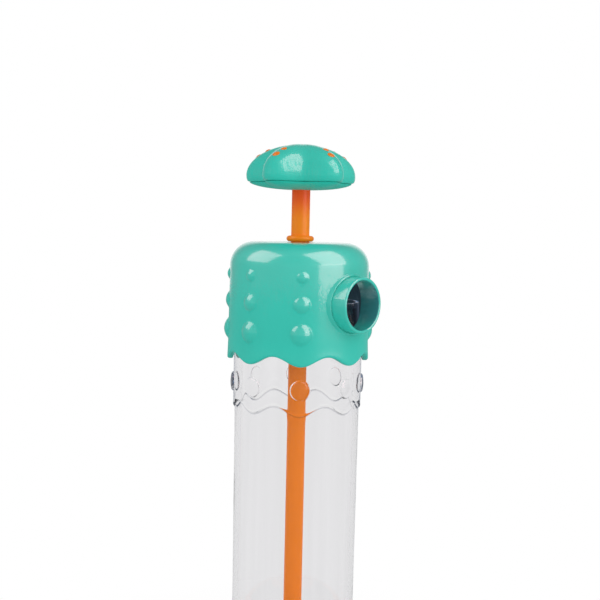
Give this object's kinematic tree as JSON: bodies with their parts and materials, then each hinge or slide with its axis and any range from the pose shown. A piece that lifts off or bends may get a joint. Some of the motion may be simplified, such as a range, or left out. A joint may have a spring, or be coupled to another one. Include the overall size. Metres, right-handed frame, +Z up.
{
  "type": "water squirter",
  "caption": "Lift-pump water squirter: clear barrel, swivelling wavy head with a side socket for a nozzle, and a plunger with a starfish knob.",
  "frame": {"origin": "centre of the ring that the foot stands on", "axes": "+Z up along the barrel's axis, +X out of the spout socket with the head at rest"},
  "size_m": [0.076, 0.0714, 0.2799],
  "materials": {
    "teal_plastic": "satin moulded",
    "orange_plastic": "satin moulded",
    "clear_plastic": "clear polished",
    "white_plastic": "moulded",
    "seal_rubber": "soft moulded",
    "steel": "plated"
  },
  "bodies": {
    "barrel": {"base_foot": "teal_plastic", "base_gasket": "seal_rubber", "clear_tube": "clear_plastic", "foot_valve_stop": "white_plastic"},
    "foot_valve": {"foot_valve_disc": "seal_rubber"},
    "head": {"head_shell": "teal_plastic", "spout_socket": "teal_plastic", "swivel_ring": "white_plastic", "neck_seal": "seal_rubber", "rod_gland": "white_plastic", "rod_seal": "seal_rubber", "gland_washer": "steel", "gland_screws": "steel"},
    "piston": {"piston_body": "orange_plastic", "piston_seal": "seal_rubber"},
    "handle": {"pump_rod": "orange_plastic", "knob_lower_shell": "teal_plastic", "knob_upper_shell": "teal_plastic", "knob_dots": "orange_plastic", "knob_screw": "steel", "piston_washer": "steel", "piston_screw": "steel"},
    "piston_valve": {"piston_valve_disc": "seal_rubber"}
  },
  "joints": [
    {"name": "head_swivel", "type": "hinge", "parent": "barrel", "child": "head", "pos_m": [0, 0, 0.1885], "axis": [0, 0, 1], "continuous": true},
    {"name": "plunger_slide", "type": "slide", "parent": "barrel", "child": "piston", "axis": [0, 0, 1], "range_m": [0, 0.145]},
    {"name": "handle_spin", "type": "hinge", "parent": "piston", "child": "handle", "pos_m": [0, 0, 0.0375], "axis": [0, 0, 1], "continuous": true},
    {"name": "foot_valve_lift", "type": "slide", "parent": "barrel", "child": "foot_valve", "axis": [0, 0, 1], "range_m": [0, 0.0024]},
    {"name": "piston_valve_lift", "type": "slide", "parent": "piston", "child": "piston_valve", "axis": [0, 0, 1], "range_m": [0, 0.0019]}
  ]
}
